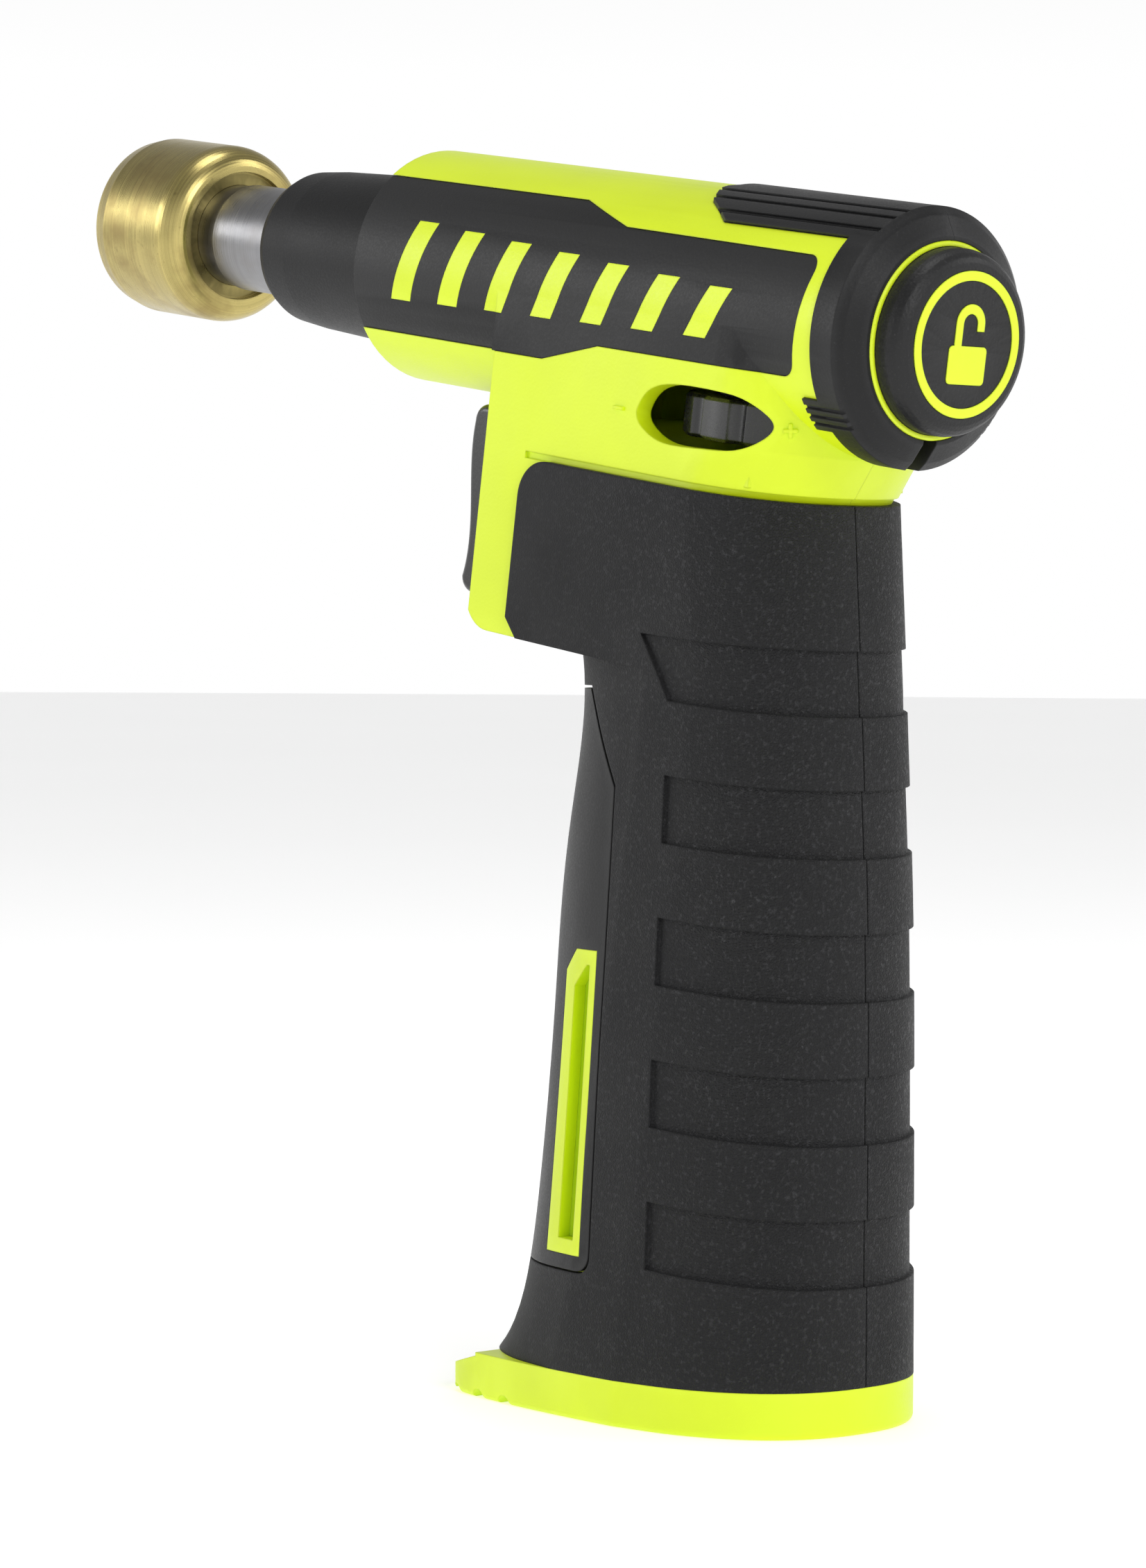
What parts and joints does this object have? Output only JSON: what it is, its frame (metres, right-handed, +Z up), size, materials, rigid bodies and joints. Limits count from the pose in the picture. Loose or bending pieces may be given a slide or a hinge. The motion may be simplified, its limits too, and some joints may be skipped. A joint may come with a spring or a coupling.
{
  "type": "pistol-grip gas torch",
  "caption": "Pistol-grip hand torch: a gas tank in the handle feeds a brass burner cup on a steel tube, with a trigger, a flame wheel and a lock button at the rear.",
  "frame": {"origin": "centre of the base's underside, on the tool's plane of symmetry", "axes": "+Z up, +X to the rear of the tool, +Y to the right as seen from behind the grip; the burner points to -X and 8.6 degrees up"},
  "size_m": [0.1902, 0.048, 0.1948],
  "materials": {
    "yellow_plastic": "bright yellow-green moulded plastic, satin with a very fine spark texture",
    "soft_grip": "charcoal soft overmould with a fine leathery grain",
    "black_plastic": "black moulded plastic, satin",
    "tinted_window": "tinted clear yellow-green plastic",
    "button_plastic": "black moulded plastic with a sparkling spark texture",
    "gloss_black_plastic": "black moulded plastic, semi-gloss",
    "inner_plastic": "natural white moulded plastic, guessed",
    "tank_plastic": "translucent grey plastic, guessed",
    "tube_plastic": "thin translucent plastic tube, guessed",
    "brass": "turned brass with fine circular marks and slight tarnish",
    "steel": "brushed stainless steel",
    "spring_steel": "plain bright steel",
    "ceramic": "white ceramic, unglazed",
    "wire_cover": "black flexible insulation"
  },
  "bodies": {
    "housing": {"housing_left": "yellow_plastic", "housing_right": "yellow_plastic", "grip_left": "soft_grip", "grip_right": "soft_grip", "front_spine": "black_plastic", "window_frame_left": "yellow_plastic", "window_frame_right": "yellow_plastic", "fuel_window_left": "tinted_window", "fuel_window_right": "tinted_window", "side_panel_left": "black_plastic", "side_panel_right": "black_plastic", "panel_mark_left": "yellow_plastic", "panel_mark_right": "yellow_plastic", "cowl_left": "black_plastic", "cowl_right": "black_plastic", "bezel_ring": "yellow_plastic", "lock_guide": "inner_plastic", "lock_spring": "spring_steel", "burner_cup": "brass", "burner_tube": "steel", "flame_holder": "brass", "nose_sleeve": "black_plastic", "jet_holder": "brass", "gas_feed_tube": "brass", "electrode": "spring_steel", "electrode_insulator": "ceramic", "ignition_wire": "wire_cover", "valve_body": "brass", "gas_tube": "tube_plastic", "piezo_body": "inner_plastic", "trigger_spring": "spring_steel", "tank_valve_body": "brass", "fuel_tank": "tank_plastic", "fill_valve_body": "brass", "fill_valve_seal": "wire_cover", "screw_front": "spring_steel", "screw_middle": "spring_steel", "screw_low": "spring_steel"},
    "trigger": {"trigger": "gloss_black_plastic", "piezo_plunger": "inner_plastic", "gas_slide": "inner_plastic"},
    "flame_wheel": {"flame_wheel": "gloss_black_plastic", "regulator_spindle": "steel"},
    "lock_button": {"lock_button": "button_plastic", "emblem_ring": "yellow_plastic", "emblem_padlock": "yellow_plastic"},
    "tank_valve_stem": {"tank_valve_stem": "spring_steel"},
    "fill_valve_stem": {"fill_valve_stem": "spring_steel"},
    "base_foot": {"base_foot": "yellow_plastic"}
  },
  "joints": [
    {"name": "trigger_slide", "type": "slide", "parent": "housing", "child": "trigger", "axis": [0.9888, 0, -0.1495], "range_m": [0, 0.005], "stiffness_N_per_m": 1500, "springref_m": -0.003},
    {"name": "lock_button_slide", "type": "slide", "parent": "housing", "child": "lock_button", "axis": [-0.9888, 0, 0.1495], "range_m": [0, 0.0025], "stiffness_N_per_m": 1200, "springref_m": -0.002},
    {"name": "flame_wheel_turn", "type": "hinge", "parent": "housing", "child": "flame_wheel", "pos_m": [0.02098, 0, 0.14306], "axis": [0.1495, 0, 0.9888], "range_deg": [-135, 135]},
    {"name": "tank_valve_slide", "type": "slide", "parent": "housing", "child": "tank_valve_stem", "axis": [0, 0, -1], "range_m": [0, 0.002]},
    {"name": "fill_valve_slide", "type": "slide", "parent": "housing", "child": "fill_valve_stem", "axis": [0, 0, 1], "range_m": [0, 0.0015], "stiffness_N_per_m": 800, "springref_m": -0.001},
    {"name": "base_slide", "type": "slide", "parent": "housing", "child": "base_foot", "axis": [0, 0, -1], "range_m": [0, 0.012]}
  ],
  "couplings": [
    {"joint": "tank_valve_slide", "follows": "trigger_slide", "ratio": 0.4}
  ]
}
